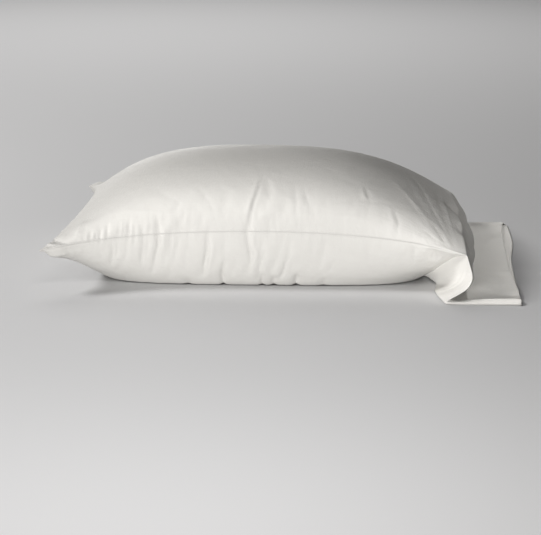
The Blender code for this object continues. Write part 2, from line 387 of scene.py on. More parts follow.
# %% Paint the slack and the pins
SLACK = 0.022  # how much longer the cloth is than the mesh where the slack is full
SLACK_REACH = 0.050  # how far from a seam it fades
CROWN_SLACK = 0.10
BACK_GATHER = 0.7
END_GATHER = 0.4
GATHER_NOISE = 0.030  # the size of its lumps
GATHER_LUMPS = 0.8  # and their strength
CALM, MIDDLE_CALM = 0.40, 0.60  # what the front's top panel goes without, near the closed end and past it
CALM_START, CALM_END = -0.090, -0.050  # where one turns into the other
LAID_START, LAID_END = 0.270, 0.292  # from here on the empty end stays as it was laid
REST_TOP, FREE_FROM = 0.004, 0.012  # so does the underside, up to these heights
TIP = 0.02  # and so do the two corners of the closed end
Gather = namedtuple("Gather", "x amount")  # along the front seam, from the closed end
FRONT_GATHERS = (
    Gather(-0.30, 0.2),
    Gather(-0.22, 0.9),
    Gather(-0.15, 1.0),
    Gather(-0.10, 0.7),
    Gather(-0.02, 1.0),
    Gather(0.06, 0.7),
    Gather(0.11, 0.2),
    Gather(0.19, 0.25),
    Gather(0.24, 0.6),
)
across = floats(case_mesh, "across")
base = coordinates(case_mesh)
place = base - np.array(TO_SOLID)
from_seam = (1.0 - np.abs(across)) * HALF_DEPTH
from_closed_end = np.maximum(place[:, 0] + LEFT_END, 0.0)
lumps = 1.0 + GATHER_LUMPS * uneven(place, GATHER_NOISE)
gathers = np.interp(place[:, 0], [g.x for g in FRONT_GATHERS], [g.amount for g in FRONT_GATHERS])
gathers = np.where(across < 0, gathers, BACK_GATHER)
calm = mix(CALM, MIDDLE_CALM, stepped(place[:, 0], CALM_START, CALM_END))
gathers *= 1.0 - calm * (across < 0) * (floats(case_mesh, "panel") > 0)
slack = faded(from_seam, SLACK_REACH) * gathers * lumps + CROWN_SLACK
slack += END_GATHER * faded(from_closed_end, SLACK_REACH) * lumps
beyond = stepped(place[:, 0], LAID_START, LAID_END)
resting = 1.0 - stepped(place[:, 2], REST_TOP, FREE_FROM)
tips = faded(np.hypot(from_seam, from_closed_end), TIP)
pinned = np.maximum(np.maximum(beyond, resting), tips)
slack = np.clip(slack, 0.0, 1.0) * (1.0 - pinned)


def paint(piece, name, weights):
    group = piece.vertex_groups.new(name=name)
    for index, weight in enumerate(weights):
        if weight > 0.0:
            group.add((index,), float(weight), "REPLACE")


paint(case, "taut", 1.0 - slack)
paint(case, "pinned", pinned)
print("slack on", int((slack > 0.05).sum()), "vertices, pinned", int((pinned > 0.5).sum()))

# %% [markdown]
# The simulation also blows the whole case up a little, which would spoil the size. So the part of the
# movement that is smooth over a few centimetres is taken out again. What stays are the folds, and no point
# may move further than a cap.

# %% Let the cloth settle
PRESSURE = 4.0
FRAMES = 30
CAP = 0.006
SMOOTHINGS = 60
KEPT_SWELLING = 0.05
FOLD_SHARE = 0.45  # of the simulated folds, because this cloth is smooth


def settle(piece):
    cloth = piece.modifiers.new("cloth", "CLOTH")
    rules = cloth.settings
    rules.quality = 5
    rules.mass = 0.15
    rules.tension_stiffness = 20.0
    rules.compression_stiffness = 20.0
    rules.shear_stiffness = 8.0
    rules.bending_stiffness = 0.05
    rules.use_pressure = True
    rules.uniform_pressure_force = PRESSURE
    rules.effector_weights.gravity = 0.0
    rules.vertex_group_mass = "pinned"
    rules.vertex_group_shrink = "taut"
    rules.shrink_min = -SLACK
    rules.shrink_max = 0.0
    cloth.point_cache.frame_start = 1
    cloth.point_cache.frame_end = FRAMES
    for frame_number in range(1, FRAMES + 1):
        bpy.context.scene.frame_set(frame_number)
    settled = piece.evaluated_get(bpy.context.evaluated_depsgraph_get())
    moved = coordinates(settled.data) - coordinates(piece.data)
    piece.modifiers.remove(cloth)
    piece.vertex_groups.clear()
    bpy.context.scene.frame_set(1)
    return moved


def averaged(mesh, values, times):
    """Each point's value mixed with its neighbours' again and again."""
    start, end = edge_ends(mesh)
    count = np.bincount(np.concatenate([start, end]), minlength=len(values))
    for _ in range(times):
        total = [np.bincount(start, v[end], len(v)) + np.bincount(end, v[start], len(v)) for v in values.T]
        values = (values + np.transpose(total) / count[:, None]) / 2
    return values


moved = settle(case)
folds = moved - (1.0 - KEPT_SWELLING) * averaged(case_mesh, moved, SMOOTHINGS)
folds *= (1.0 - pinned)[:, None]
reach = np.linalg.norm(folds, axis=1)
folds *= FOLD_SHARE * (CAP / np.maximum(reach, CAP))[:, None]
move_to(case_mesh, base + folds)
print("folds: mean", round(float(reach.mean()), 5), "m, most", round(float(reach.max()), 4), "m")

# %% [markdown]
# One subdivision makes the folds smooth. It keeps the painted distances, because Blender mixes a mesh's
# attributes the way it mixes its points. The side seams are creased, so they stay lines.

# %% Subdivide once
def applied(piece):
    """The piece's mesh with its modifiers in it."""
    graph = bpy.context.evaluated_depsgraph_get()
    mesh = bpy.data.meshes.new_from_object(piece.evaluated_get(graph), depsgraph=graph)
    piece.modifiers.clear()
    piece.data = mesh
    return mesh


smooth = case.modifiers.new("smooth", "SUBSURF")
smooth.levels = smooth.render_levels = 1
case_mesh = applied(case)
case_mesh.name = "case_cloth"
print("subdivided:", len(case_mesh.vertices), "vertices,", 2 * len(case_mesh.polygons), "triangles")

# %% [markdown]
# ## Creases, one by one
#
# The simulation gives the even run of small folds. The creases that give this pillow its character are
# given one by one, in the cloth's own sizes: how far along the pillow, and how far above (+) or below (-)
# the front seam, both in millimetres. A crease is a soft trough, or a ridge where its depth is negative,
# and it fades at both ends. A sharp fold is a ridge with a trough close beside it.

# %% Creases of the front, from the closed end to the shoulder
MILLIMETRES = 1000.0  # in a metre
Crease = namedtuple("Crease", "route width depth")
CREASES = (
    # the corner of the closed end folds in like an ear
    Crease(((-306, 34), (-298, 16), (-287, 5)), 3.4, -1.8),
    Crease(((-302, 52), (-295, 32), (-285, 14), (-274, 1)), 4, 2),
    Crease(((-260, 52), (-262, 28), (-265, 4)), 8, -2.6),
    Crease(((-244, 44), (-246, 4)), 10, -1),
    Crease(((-312, 3), (-290, 2.4), (-268, 2.4)), 2.2, -0.9),
    # short puckers at the seam
    Crease(((-244, 20), (-243, -1)), 2.6, 1.2),
    Crease(((-236, 14), (-236, -3)), 2.4, 1),
    Crease(((-229, 18), (-230, -6)), 2.6, 1.2),
    Crease(((-220, 24), (-220, -10)), 2.8, 1.4),
    Crease(((-211, 10), (-213, -18), (-218, -48)), 3, 1.5),
    Crease(((-204, 22), (-205, -14), (-210, -36)), 3, 1.8),
    Crease(((-197, 14), (-200, -26)), 2.6, 1.2),
    Crease(((-189, 26), (-191, -6), (-197, -40)), 3, 1.9),
    Crease(((-181, 22), (-182, -12)), 2.6, 1.3),
    Crease(((-173, 18), (-168, -12), (-173, -50)), 3.4, 2.1),
    Crease(((-159, 12), (-165, -42)), 2.8, 1.6),
    Crease(((-148, 26), (-146, -6), (-151, -36), (-160, -68)), 3.6, 2.9),
    Crease(((-138, 12), (-140, -30)), 2.8, -0.9),
    Crease(((-128, 6), (-132, -36)), 3, 1.6),
    Crease(((-116, 0), (-125, -44)), 2.8, 1.3),
    Crease(((-104, -16), (-110, -58)), 3.4, 0.8),
    Crease(((-73, 6), (-76, -22), (-80, -50), (-87, -78)), 3.6, 3.4),
    Crease(((-66, -10), (-72, -46), (-78, -76)), 3.6, -1.2),
    Crease(((-50, -36), (-58, -80)), 3, 2.4),
    # the long S-shaped crease
    Crease(((-5, 94), (-10, 60), (-17, 30), (-21, 4)), 3.6, -1.1),
    Crease(((-1, 80), (-6, 52), (-13, 26), (-18, -4)), 3, 1.5),
    Crease(((-20, 14), (-16, -22), (-12, -46), (-20, -70)), 3.4, 2.7),
    Crease(((-10, -12), (-4, -36), (-12, -64)), 3.6, -1.4),
    Crease(((5, -12), (0, -35), (-8, -58)), 3, 1.4),
    Crease(((8, -24), (1, -52), (-6, -80)), 3, 2.2),
    Crease(((26, -30), (20, -56), (12, -80)), 3.4, 1.2),
    Crease(((44, -30), (36, -55), (28, -78)), 3, 2.1),
    # above the seam
    Crease(((-162, 82), (-134, 56), (-112, 42)), 5, 0.4),
    Crease(((-92, 74), (-76, 46), (-67, 26)), 4.4, 0.6),
    Crease(((51, 80), (50, 48), (54, 20)), 4.4, 0.8),
    Crease(((62, 76), (69, 48), (79, 26)), 5, 0.8),
    Crease(((146, 92), (153, 56)), 3.6, -0.7),
    Crease(((152, 90), (159, 58)), 3, 0.7),
    Crease(((184, 56), (192, 30), (189, 4)), 4.8, -0.6),
    Crease(((193, 50), (200, 28), (196, 4)), 3.8, 0.7),
    # dimples below the seam, near the open end
    Crease(((221, 0), (222, -38)), 4, 1.5),
    Crease(((252, -2), (248, -32)), 9, 2.4),
    # pinches where the front meets the surface
    Crease(((-54, -60), (-55, -110)), 3.8, 4.4),
    Crease(((2, -66), (2, -108)), 3.4, 3.4),
    Crease(((19, -68), (19, -110)), 4, 3.6),
    Crease(((53, -66), (52, -110)), 4.4, 4.2),
    Crease(((-108, -74), (-108, -108)), 5, 2),
    Crease(((92, -72), (94, -108)), 6, 1.8),
    # lines that were pressed into the cloth, along the seam
    Crease(((-225, 44), (-145, 32), (-87, 29), (-16, 26)), 3.4, -0.4),
    Crease(((-4, 26), (57, 27), (122, 28), (172, 22)), 3.4, -0.4),
    Crease(((105, 47), (152, 57), (195, 61), (228, 58)), 3.8, 0.4),
    Crease(((130, -18), (174, -20), (210, -26)), 3.2, 0.4),
    Crease(((70, -10), (120, -30), (180, -34)), 5, 0.4),
    Crease(((100, -40), (104, -64)), 6, 0.6),
    Crease(((156, -6), (160, -44)), 5, 0.5),
    # folds that run over the shoulder into the corner
    Crease(((196, 142), (218, 94), (236, 64), (258, 36)), 10, -1),
    Crease(((215, 245), (238, 161), (246, 116), (257, 73), (278, 12)), 3, 0.4),
    Crease(((222, 210), (231, 177), (243, 105), (252, 78), (264, 46)), 3, 0.2),
    Crease(((206, 225), (226, 114), (239, 75), (252, 47), (270, 18)), 3.2, 0.2),
    Crease(((270, 230), (275, 112), (280, 55), (283, 10)), 2.6, -0.4),
    Crease(((262, 200), (265, 112), (271, 55), (279, 10)), 3.6, 0.3),
    Crease(((206, 106), (218, 79), (226, 62), (236, 50)), 3.2, 0.3),
    Crease(((240, 60), (254, 36), (261, 21), (273, 6)), 2.8, 0.5),
    Crease(((250, 80), (262, 54), (269, 34), (279, 12)), 2.8, 0.3),
    Crease(((229, 30), (253, 12), (276, 4)), 2.8, 0.5),
    # the roll of the empty end under the corner
    Crease(((300, -4), (318, -30), (330, -62)), 5, 1.4),
    Crease(((298, -16), (306, -40), (312, -64)), 4.6, 1.2),
    Crease(((300, 6), (316, 24), (336, 50)), 5, 1.2),
    # loose folds where the empty cloth falls from the pillow's edge
    Crease(((282, 78), (312, 86), (352, 82), (378, 88)), 11, 3.4),
    Crease(((290, 118), (318, 112), (360, 120)), 12, -2.6),
    Crease(((270, 176), (306, 160), (350, 152), (380, 156)), 12, 4.4),
    Crease(((286, 208), (320, 200), (366, 190)), 14, -3),
    Crease(((288, 252), (322, 262), (362, 258)), 12, 3),
    Crease(((276, 322), (310, 306), (352, 300), (380, 306)), 13, 4.2),
    Crease(((290, 352), (322, 346), (360, 340)), 14, -2.6),
    Crease(((280, 410), (316, 398), (366, 402)), 11, 3.2),
    Crease(((292, 446), (322, 440), (360, 446)), 11, -2),
)
CREASE_SHARE = 0.94  # how much of the depths above is kept
CREASE_SHARPNESS = 1.4  # 2 would be a round trough, 1 a knife cut
CREASE_ENDS = 0.7  # 1 would be a long fade towards both ends, 0 none
WANDER, WANDER_SIZE = 0.0018, 0.020  # how far and how often a crease leaves its route
UNEVEN_DEPTH = 0.5
END_SHARE = 0.02  # a crease's fade starts here and not at 0, so that its very ends keep a little depth


def to_stretch(points, start, end):
    """How far along a straight stretch each point lies, from 0 to 1, and how far from it."""
    run = end - start
    reached = np.clip((points - start) @ run / (run @ run), 0.0, 1.0)
    return reached, np.linalg.norm(points - start - reached[:, None] * run, axis=1)


def crease_depth(chart, crease):
    """How deep a crease is at each point of the chart."""
    route = [np.array(point) / MILLIMETRES for point in crease.route]
    lengths = [np.linalg.norm(b - a) for a, b in zip(route, route[1:])]
    nearest = np.full(len(chart), np.inf)
    share = np.zeros(len(chart))
    for index, (a, b) in enumerate(zip(route, route[1:])):
        reached, gap = to_stretch(chart, a, b)
        closer = gap < nearest
        nearest = np.where(closer, gap, nearest)
        share = np.where(closer, (sum(lengths[:index]) + reached * lengths[index]) / sum(lengths), share)
    profile = np.exp(-((nearest / (crease.width / MILLIMETRES)) ** CREASE_SHARPNESS))
    fade = np.sin(np.pi * np.clip(share, END_SHARE, 1.0 - END_SHARE)) ** CREASE_ENDS
    return crease.depth / MILLIMETRES * profile * fade


def normals(mesh):
    values = np.zeros(len(mesh.vertices) * 3, np.float32)
    mesh.vertex_normals.foreach_get("vector", values)
    return values.reshape(-1, 3).astype(float)


def press(mesh, depth):
    """Moves each point into the cloth by its depth."""
    move_to(mesh, coordinates(mesh) - depth[:, None] * normals(mesh))


panel, along = floats(case_mesh, "panel"), floats(case_mesh, "along")
outside = floats(case_mesh, "inside") < 0.01
distances = ("from_front", "from_side", "from_mouth")
from_front, from_side, from_mouth = (floats(case_mesh, name) for name in distances)
chart = np.column_stack([along, np.sign(panel) * from_front])
cloth = np.column_stack([along, from_front, panel])
wandering = np.column_stack([uneven(cloth, WANDER_SIZE, seed) for seed in (11.0, 23.0)])
depth = CREASE_SHARE * sum(crease_depth(chart + WANDER * wandering, crease) for crease in CREASES)
depth *= (1.0 + UNEVEN_DEPTH * uneven(cloth, WANDER_SIZE, 31.0)) * outside
press(case_mesh, depth)
print(len(CREASES), "creases, deepest", round(float(depth.max()) * 1000, 1), "mm")

# %% [markdown]
# The corners of the closed end are empty cloth. A finger turned them out to a point, so they reach a little
# further than the pillow. The front one is pinched flat at its tip, and its lower layer falls away from
# there in a round. The back one isn't pinched: its lower layer hangs down like a small flap, and the upper
# one stands up. A full modelling of those layers would be lost at this size, so the points near each corner
# are moved by soft bells around it.

# %% Corners of the closed end
# pull: how far the tip reaches out. drop: how far the lower layer falls, in full from so far inward,
# fading over the reach. lift: how far the upper layer stands up
Corner = namedtuple("Corner", "side pull drop inward reach lift")
CORNERS = (
    Corner(-1, 0.0050, 0.013, 0.032, 0.042, 0.0),
    Corner(1, 0.0040, 0.018, 0.001, 0.025, 0.009),
)
TIP_REACH = 0.022
UNDER_SEAM, UNDERSIDE = -0.001, 0.004  # a point so far below the corner begins to fall, and falls in full
STANDS_IN, STANDS_REACH = (0.022, 0.012), 0.018  # where the upper layer stands up, in from the corner
points = coordinates(case_mesh)
for corner in CORNERS:
    from_end = points[:, 0] - TO_SOLID.x + LEFT_END
    from_edge = HALF_DEPTH - corner.side * points[:, 1]
    away = np.hypot(from_end, from_edge)
    hanging = stepped(CORNER_RISE - points[:, 2], UNDER_SEAM, UNDERSIDE)
    points[:, 0] -= corner.pull * faded(away, TIP_REACH)
    points[:, 2] -= corner.drop * stepped(away, 0.0, corner.inward) * faded(away, corner.reach) * hanging
    standing = np.hypot(from_end - STANDS_IN[0], from_edge - STANDS_IN[1])
    points[:, 2] += corner.lift * faded(standing, STANDS_REACH)
move_to(case_mesh, points)
print("the closed end now starts at", round(float(points[:, 0].min()), 4))

# %% [markdown]
# Close to the seams the cloth also has a fine ripple, a few millimetres from top to top. It comes from the
# stitches, which hold the two layers at slightly different lengths. Noise that is stretched across the seam
# makes it, and a few named stretches say where it is strong.

# %% Fine ripple along the seams
RIPPLE_PITCH = 0.0056
RIPPLE_LENGTH = 0.030
RIPPLE_DEPTH = 0.0006
TOP_RIPPLE_REACH, BOTTOM_RIPPLE_REACH = 0.034, 0.020  # how far from the seam it fades
OTHER_PANEL = 7.3  # takes the noise of each panel from another place
Ripple = namedtuple("Ripple", "x amount")
RIPPLES = (
    Ripple(-0.29, 0.2),
    Ripple(-0.25, 0.8),
    Ripple(-0.18, 1.0),
    Ripple(-0.10, 0.8),
    Ripple(-0.04, 0.3),
    Ripple(0.02, 0.3),
    Ripple(0.08, 0.5),
    Ripple(0.14, 0.3),
    Ripple(0.27, 0.2),
)
stretched = np.column_stack([along / RIPPLE_PITCH, from_front / RIPPLE_LENGTH, panel * OTHER_PANEL])
ripple = uneven(stretched, 1.0)
amount = np.interp(along, [r.x for r in RIPPLES], [r.amount for r in RIPPLES])
reach = np.where(panel > 0, TOP_RIPPLE_REACH, BOTTOM_RIPPLE_REACH)
press(case_mesh, RIPPLE_DEPTH * ripple * amount * faded(from_side, reach) * outside)
print("ripple up to", RIPPLE_DEPTH * 1000, "mm deep")

# %% [markdown]
# ## Seams and hem
#
# A side seam is sewn from inside and turned out. What shows is a fine valley where the two panels meet,
# with a low welt on each side over the folded-in edges. The hem is a second layer that is turned in at the
# mouth, so the cloth is a little thicker from its stitching to the mouth, and the stitching sits in a
# groove.

# %% Welts, valley and hem
VALLEY_DEPTH, VALLEY_WIDTH = 0.0004, 0.0012
WELT_HEIGHT, WELT_WIDTH, WELT_PLACE = 0.0005, 0.0016, 0.0030
HEM_RISE, HEM_STEP = 0.0005, (0.004, 0.001)  # the step starts before the stitching and ends after it
GROOVE_DEPTH, GROOVE_WIDTH = 0.0006, 0.0026
MOUTH_FADE = 0.012
ON_FLOOR = 0.002  # cloth lower than this lies flat
seam_valley = VALLEY_DEPTH * faded(from_side, VALLEY_WIDTH)
seam_valley -= WELT_HEIGHT * faded(from_side - WELT_PLACE, WELT_WIDTH)
hem = GROOVE_DEPTH * faded(from_mouth - HEM_DEPTH, GROOVE_WIDTH)
hem -= HEM_RISE * (1.0 - stepped(from_mouth, HEM_DEPTH - HEM_STEP[0], HEM_DEPTH + HEM_STEP[1]))
hem *= stepped(from_mouth, 0.0, MOUTH_FADE)
on_floor = coordinates(case_mesh)[:, 2] < ON_FLOOR
press(case_mesh, (seam_valley + np.where(on_floor, 0.0, hem)) * outside)
print("hem step", HEM_RISE * 1000, "mm, seam valley", VALLEY_DEPTH * 1000, "mm")

# %% [markdown]
# ## The empty end on the surface
#
# The two layers of the empty end lie on each other, but only the lower one is flat. The upper one stands up
# in a soft roll along its front seam and in a few low waves, and at the mouth it lifts a little, so that
# one sees into the case. The inner face of the upper layer goes with it.

# %% Waves of the upper layer
Wave = namedtuple("Wave", "start end width height")
WAVES = (
    Wave((0.325, -0.175), (0.372, -0.125), 0.026, 0.0026),
    Wave((0.372, -0.205), (0.374, -0.100), 0.018, 0.0038),
    Wave((0.330, -0.020), (0.378, 0.030), 0.030, 0.0030),
    Wave((0.376, 0.010), (0.380, 0.120), 0.020, 0.0030),
    Wave((0.335, 0.130), (0.386, 0.190), 0.026, 0.0028),
)
ROLL_HEIGHT, ROLL_PLACE, ROLL_WIDTH = 0.0030, 0.011, 0.009
LAID_LENGTH, LAID_TOP = 0.095, 0.02  # what is laid flat: so near the mouth, and so low
SEAM_START, SEAM_END = 0.0005, 0.010  # the waves rise over this distance from a seam
WAVE_START, WAVE_END = 0.045, 0.085  # and fade over this one, from the mouth inwards
points = coordinates(case_mesh)
flat = np.column_stack([points[:, 0] - TO_SOLID.x, points[:, 1]])
upper = (panel > 0.0) & (from_mouth < LAID_LENGTH) & (points[:, 2] < LAID_TOP)
lift = np.zeros(len(points))
for wave in WAVES:
    _, gap = to_stretch(flat, np.array(wave.start), np.array(wave.end))
    lift = np.maximum(lift, wave.height * faded(gap, wave.width))
lift += ROLL_HEIGHT * faded(from_side - ROLL_PLACE, ROLL_WIDTH)
lift *= stepped(from_side, SEAM_START, SEAM_END) * upper
lift *= 1.0 - stepped(from_mouth, WAVE_START, WAVE_END)
points[:, 2] += lift
move_to(case_mesh, points)
print("the upper layer lifts by up to", round(float(lift.max()) * 1000, 1), "mm")

# %% [markdown]
# ## The hem's stitching
#
# A straight line of small stitches holds the hem, on both panels. Where the line lies on the finished cloth
# is read from the painted distances: each edge of the mesh that crosses the hem's depth gives one point.
# The stitches are flat little balls, sunk halfway into the groove, and joined into one mesh.

# %% A row of stitches on each panel
STITCH_PITCH = 0.0026
STITCH_SIZE = (0.0020, 0.00044, 0.00034)  # along the line, across it, and out of the cloth


def hem_line(mesh, side):
    """Points and outward directions along the hem's stitching, from the front seam to the back one."""
    start, end = edge_ends(mesh)
    past = from_mouth - HEM_DEPTH
    crosses = (past[start] * past[end] < 0) & (panel[start] * side > 0.5) & outside[start] & outside[end]
    start, end = start[crosses], end[crosses]
    share = (past[start] / (past[start] - past[end]))[:, None]
    order = np.argsort(from_front[start])
    points, facing = coordinates(mesh), normals(mesh)
    return [mix(values[start], values[end], share)[order] for values in (points, facing)]


bm = bmesh.new()
count = 0
for side in (1, -1):
    points, facing = hem_line(case_mesh, side)
    reach = travelled(points, 0)
    wanted = np.arange(STITCH_PITCH, reach[-1], STITCH_PITCH)
    at = np.transpose([np.interp(wanted, reach, axis) for axis in points.T])
    up = np.transpose([np.interp(wanted, reach, axis) for axis in facing.T])
    for place, after, out in zip(at, at[1:], up):
        run = Vector(after - place).normalized()
        out = Vector(out).normalized()
        turn = Matrix((run, out.cross(run), out)).transposed().to_4x4()
        size = Matrix.Diagonal((*(length / 2 for length in STITCH_SIZE), 1.0))
        ball = Matrix.Translation(Vector(place)) @ turn @ size
        bmesh.ops.create_uvsphere(bm, u_segments=6, v_segments=4, radius=1.0, matrix=ball)
        count += 1
stitch_mesh = bpy.data.meshes.new("hem_stitches")
bm.to_mesh(stitch_mesh)
bm.free()
stitches = bpy.data.objects.new("hem_stitches", stitch_mesh)
bpy.context.scene.collection.objects.link(stitches)
print(count, "stitches")

# %% [markdown]
# ## White cotton
#
# From a step away cotton isn't one flat white. The threads are uneven, so thicker ones show as short faint
# streaks both ways, and the cloth keeps a little crumple from the washing line. From close by one sees the
# weave. The weave, the streaks and the ripple at the seams follow the cloth's own map, and the crumple lies
# on the piece's coordinates. Both are in metres, so every size below is a real one.
#
# The effects are node groups that put out heights in metres and tones. The yarns' tone is the cloth's
# own; the tones of the dents and of the seam's groove are painted shade. The material multiplies the
# tones into its colour and adds the heights into one bump. Its even values, such as the sheen, sit on the
# shader itself.

# %% Helpers for node groups
def new_group(name, inputs, outputs):
    """A node group with a place, float inputs with their usual values, and float outputs."""
    group = bpy.data.node_groups.new(name, "ShaderNodeTree")
    group.interface.new_socket("Place", in_out="INPUT", socket_type="NodeSocketVector")
    for label, value in inputs.items():
        socket = group.interface.new_socket(label, in_out="INPUT", socket_type="NodeSocketFloat")
        socket.default_value = value
    for label in outputs:
        group.interface.new_socket(label, in_out="OUTPUT", socket_type="NodeSocketFloat")
    return group, group.nodes.new("NodeGroupInput").outputs, group.nodes.new("NodeGroupOutput").inputs


def math_node(tree, operation, *values, clamp=False):
    """A Math node whose values are sockets or plain numbers."""
    node = tree.nodes.new("ShaderNodeMath")
    node.operation = operation
    node.use_clamp = clamp
    for socket, value in zip(node.inputs, values):
        if isinstance(value, bpy.types.NodeSocket):
            tree.links.new(value, socket)
        else:
            socket.default_value = value
    return node.outputs[0]


def split(tree, vector):
    node = tree.nodes.new("ShaderNodeSeparateXYZ")
    tree.links.new(vector, node.inputs[0])
    return node.outputs[0], node.outputs[1], node.outputs[2]


def stretched_noise(tree, x, y, z, width, length, detail=1.0):
    """Noise from -1 to 1 that is narrow along x and long along y."""
    join = tree.nodes.new("ShaderNodeCombineXYZ")
    for socket, value, size in zip(join.inputs, (x, y, z), (width, length, 1.0)):
        tree.links.new(math_node(tree, "DIVIDE", value, size), socket)
    node = tree.nodes.new("ShaderNodeTexNoise")
    node.inputs["Scale"].default_value = 1.0
    node.inputs["Detail"].default_value = detail
    tree.links.new(join.outputs[0], node.inputs["Vector"])
    return math_node(tree, "MULTIPLY_ADD", node.outputs["Fac"], 2.0, -1.0)


# %% Threads: the weave and its uneven yarns
YARN_WIDTH, WARP_LENGTH, WEFT_LENGTH = 0.0016, 0.040, 0.030  # of a streak where a yarn is thicker
YARN_HEIGHT, KNUCKLE_HEIGHT = 0.00004, 0.00004
YARN_TONE = 0.010


def threads_group():
    group, given, result = new_group("threads", {"Pitch": 0.0004, "Uneven": 1.0}, ("Height", "Tone"))
    u, v, w = split(group, given["Place"])
    turns = math_node(group, "DIVIDE", math.pi, given["Pitch"])
    warp = math_node(group, "SINE", math_node(group, "MULTIPLY", u, turns))
    weft = math_node(group, "SINE", math_node(group, "MULTIPLY", v, turns))
    knuckles = math_node(group, "ABSOLUTE", math_node(group, "MULTIPLY", warp, weft))
    along_u = stretched_noise(group, v, u, w, YARN_WIDTH, WARP_LENGTH)
    along_v = stretched_noise(group, u, v, w, YARN_WIDTH, WEFT_LENGTH)
    yarns = math_node(group, "MULTIPLY", math_node(group, "ADD", along_u, along_v), given["Uneven"])
    knuckles = math_node(group, "MULTIPLY", knuckles, KNUCKLE_HEIGHT)
    group.links.new(math_node(group, "MULTIPLY_ADD", yarns, YARN_HEIGHT, knuckles), result["Height"])
    group.links.new(math_node(group, "MULTIPLY_ADD", yarns, YARN_TONE, 1.0), result["Tone"])
    return group


# %% Crumple: soft dents of a given size and depth, with painted shade in their low places
# painted shade: the dents' low places are darker in colour than their tops by this share
DENT_SHADE = 0.03  # how much lighter the highest places are than the lowest


def crumple_group():
    group, given, result = new_group("crumple", {"Size": 0.012, "Depth": 0.0002}, ("Height", "Tone"))
    scaled = group.nodes.new("ShaderNodeVectorMath")
    scaled.operation = "SCALE"
    group.links.new(given["Place"], scaled.inputs[0])
    group.links.new(math_node(group, "DIVIDE", 1.0, given["Size"]), scaled.inputs["Scale"])
    dents = group.nodes.new("ShaderNodeTexNoise")
    dents.inputs["Scale"].default_value = 1.0
    dents.inputs["Detail"].default_value = 2.0
    dents.inputs["Roughness"].default_value = 0.45
    dents.inputs["Distortion"].default_value = 0.6
    group.links.new(scaled.outputs[0], dents.inputs["Vector"])
    group.links.new(math_node(group, "MULTIPLY", dents.outputs["Fac"], given["Depth"]), result["Height"])
    # painted shade: the colour darkens in the low places of the dents
    tone = math_node(group, "MULTIPLY_ADD", dents.outputs["Fac"], DENT_SHADE, 1.0 - DENT_SHADE / 2)
    group.links.new(tone, result["Tone"])
    return group


# %% Puckers: the fine ripple beside the seams, the pull lines that meet in the corner, and painted shade in the seam's groove
PUCKER_WIDTH, PUCKER_LENGTH, PUCKER_REACH = 0.0036, 0.022, 0.036
PULL_REACH = 0.17
PULL_ANGLE, PULL_LENGTH = 0.035, 0.15  # a pull line's width, as an angle, and its length
PULL_STRENGTH = 2.0
WELT_LINE, LINE_WIDTH, LINE_HEIGHT = 0.0014, 0.0012, 0.0005
# painted shade: the colour in the groove below the seam is this share darker
SEAM_SHADE = 0.02


def bell(tree, value, middle, width):
    """1 where a value is at its middle, falling softly to 0 past its width."""
    share = math_node(tree, "DIVIDE", math_node(tree, "SUBTRACT", value, middle), width)
    square = math_node(tree, "MULTIPLY", share, share)
    return math_node(tree, "EXPONENT", math_node(tree, "MULTIPLY", square, -1.0))


def pucker_group(corner):
    """Ripple near a seam, and lines that run to the corner, which lies so far from the mouth."""
    inputs = {"Above Seam": 0.0, "Depth": 0.0002}
    group, given, result = new_group("puckers", inputs, ("Height", "Tone"))
    u, v, w = split(group, given["Place"])
    ripple = stretched_noise(group, u, v, w, PUCKER_WIDTH, PUCKER_LENGTH)
    near = math_node(group, "DIVIDE", math_node(group, "ABSOLUTE", given["Above Seam"]), PUCKER_REACH)
    near = math_node(group, "SUBTRACT", 1.0, near, clamp=True)
    ripple = math_node(group, "MULTIPLY", ripple, math_node(group, "MULTIPLY", near, near))
    past = math_node(group, "SUBTRACT", u, corner)
    angle = math_node(group, "ARCTAN2", v, past)
    squares = [math_node(group, "MULTIPLY", value, value) for value in (past, v)]
    away = math_node(group, "SQRT", math_node(group, "ADD", *squares))
    pulls = stretched_noise(group, angle, away, w, PULL_ANGLE, PULL_LENGTH)
    close = math_node(group, "SUBTRACT", 1.0, math_node(group, "DIVIDE", away, PULL_REACH), clamp=True)
    pulls = math_node(group, "MULTIPLY", pulls, math_node(group, "MULTIPLY", close, away))
    pulls = math_node(group, "MULTIPLY", pulls, PULL_STRENGTH / PULL_REACH)
    both = math_node(group, "MULTIPLY", math_node(group, "ADD", ripple, pulls), given["Depth"])
    welt = bell(group, given["Above Seam"], WELT_LINE, LINE_WIDTH)
    groove = bell(group, given["Above Seam"], -WELT_LINE, LINE_WIDTH)
    seam = math_node(group, "MULTIPLY", math_node(group, "SUBTRACT", welt, groove), LINE_HEIGHT)
    group.links.new(math_node(group, "ADD", both, seam), result["Height"])
    # painted shade in the seam's groove
    group.links.new(math_node(group, "MULTIPLY_ADD", groove, -SEAM_SHADE, 1.0), result["Tone"])
    return group


# %% The cotton, put together
COTTON = (0.83, 0.82, 0.792)
CLOTH_ROUGHNESS, THREAD_ROUGHNESS = 0.68, 0.5
SHEEN, SHEEN_ROUGHNESS, SHINE = 0.06, 0.5, 0.35
FOLD_SIZE, FOLD_DEPTH = 0.035, 0.0007  # the crumple's larger layer
THREAD_PITCH, THREAD_UNEVEN = 0.0003, 0.5
END_REACH, SEAM_REACH = 0.002, 0.001  # the corner's points lie so near the pillow's edge and the seam


def placed(tree, group, place, **values):
    """A group node in a material, with its place and its own values."""
    node = tree.nodes.new("ShaderNodeGroup")
    node.node_tree = group
    tree.links.new(place, node.inputs["Place"])
    for label, value in values.items():
        socket = node.inputs[label.replace("_", " ")]
        if isinstance(value, bpy.types.NodeSocket):
            tree.links.new(value, socket)
        else:
            socket.default_value = value
    return node.outputs


